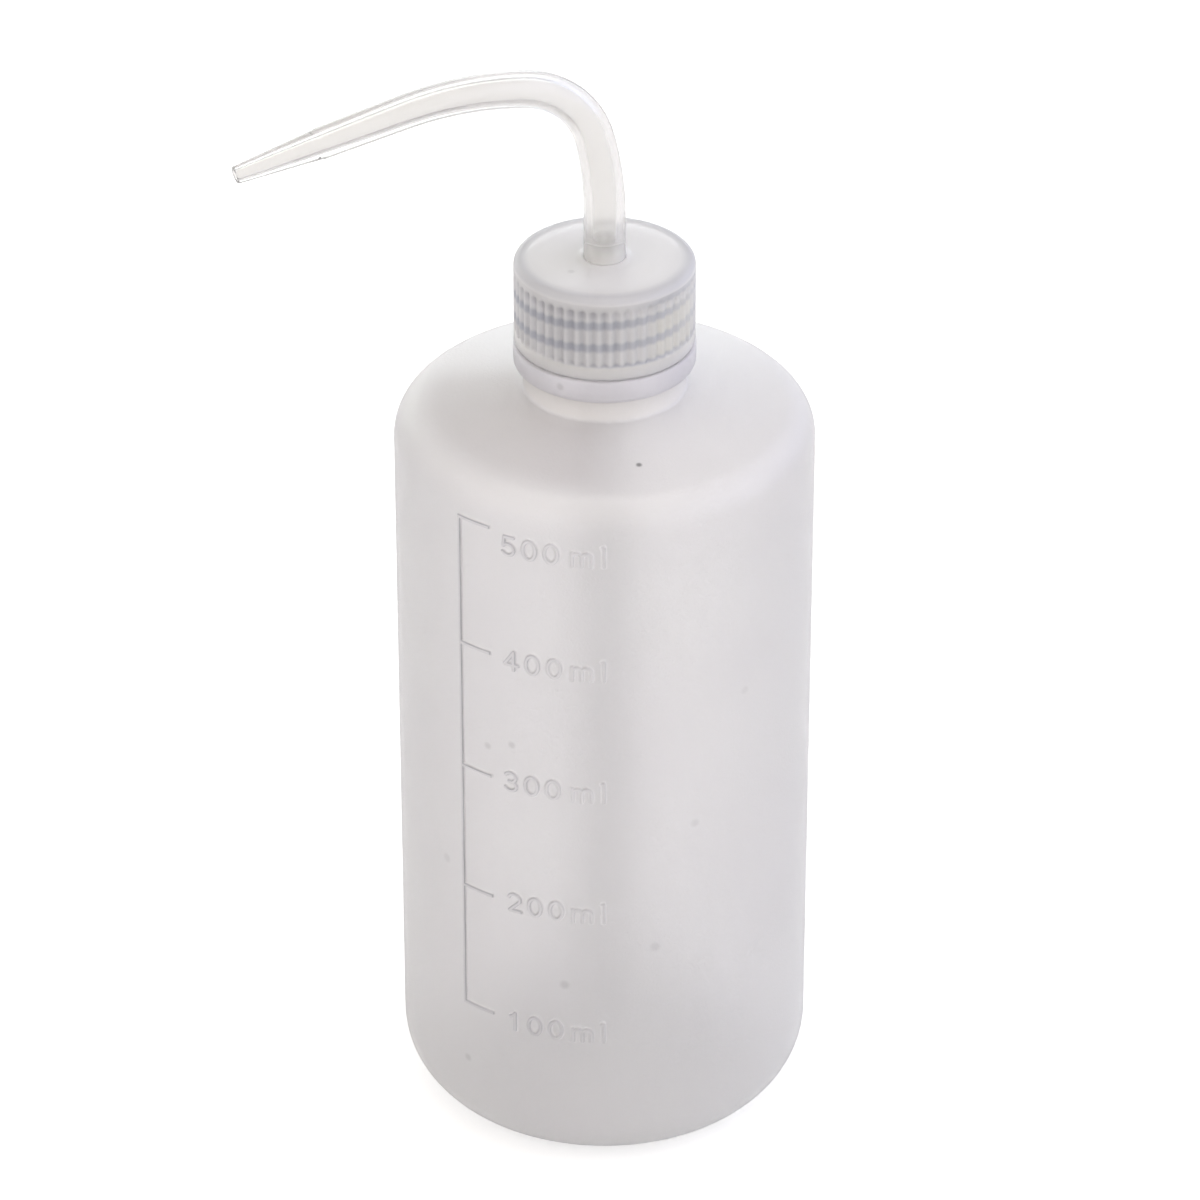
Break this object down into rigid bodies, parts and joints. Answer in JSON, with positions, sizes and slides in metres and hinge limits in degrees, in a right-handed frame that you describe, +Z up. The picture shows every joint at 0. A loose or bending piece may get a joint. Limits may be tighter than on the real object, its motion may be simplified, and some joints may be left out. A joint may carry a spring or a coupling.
{
  "type": "wash bottle",
  "caption": "Translucent squeeze wash bottle with a ribbed screw cap, a bent tapering spout, an inner dip tube and a raised volume scale.",
  "frame": {"origin": "middle of the bottle's base, in the plane of its standing ring", "axes": "+Z up along the bottle's axis; the scale and its numerals are on the -Y side; the spout points towards -X, turned 22.5 degrees towards -Y"},
  "size_m": [0.0979, 0.073, 0.2056],
  "materials": {
    "bottle_plastic": "milky translucent polyethylene, satin",
    "cap_plastic": "translucent polypropylene, semi-gloss",
    "liner_plastic": "soft white foam sheet",
    "spout_plastic": "nearly clear polyethylene, glossy",
    "tube_plastic": "translucent polyethylene, satin"
  },
  "bodies": {
    "bottle": {"bottle": "bottle_plastic"},
    "washer": {"cap_liner": "liner_plastic"},
    "cap": {"cap": "cap_plastic"},
    "spout": {"spout": "spout_plastic", "dip_tube": "tube_plastic"}
  },
  "joints": [
    {"name": "cap_lift", "type": "slide", "parent": "bottle", "child": "washer", "axis": [0, 0, 1], "range_m": [0, 0.0085]},
    {"name": "cap_unscrew", "type": "hinge", "parent": "washer", "child": "cap", "pos_m": [0, 0, 0.16], "axis": [0, 0, 1], "range_deg": [0, 720]},
    {"name": "spout_swivel", "type": "hinge", "parent": "cap", "child": "spout", "pos_m": [0, 0, 0.167], "axis": [0, 0, 1], "continuous": true}
  ],
  "couplings": [
    {"joint": "cap_lift", "follows": "cap_unscrew", "m_per_rad": 0.00067322}
  ]
}
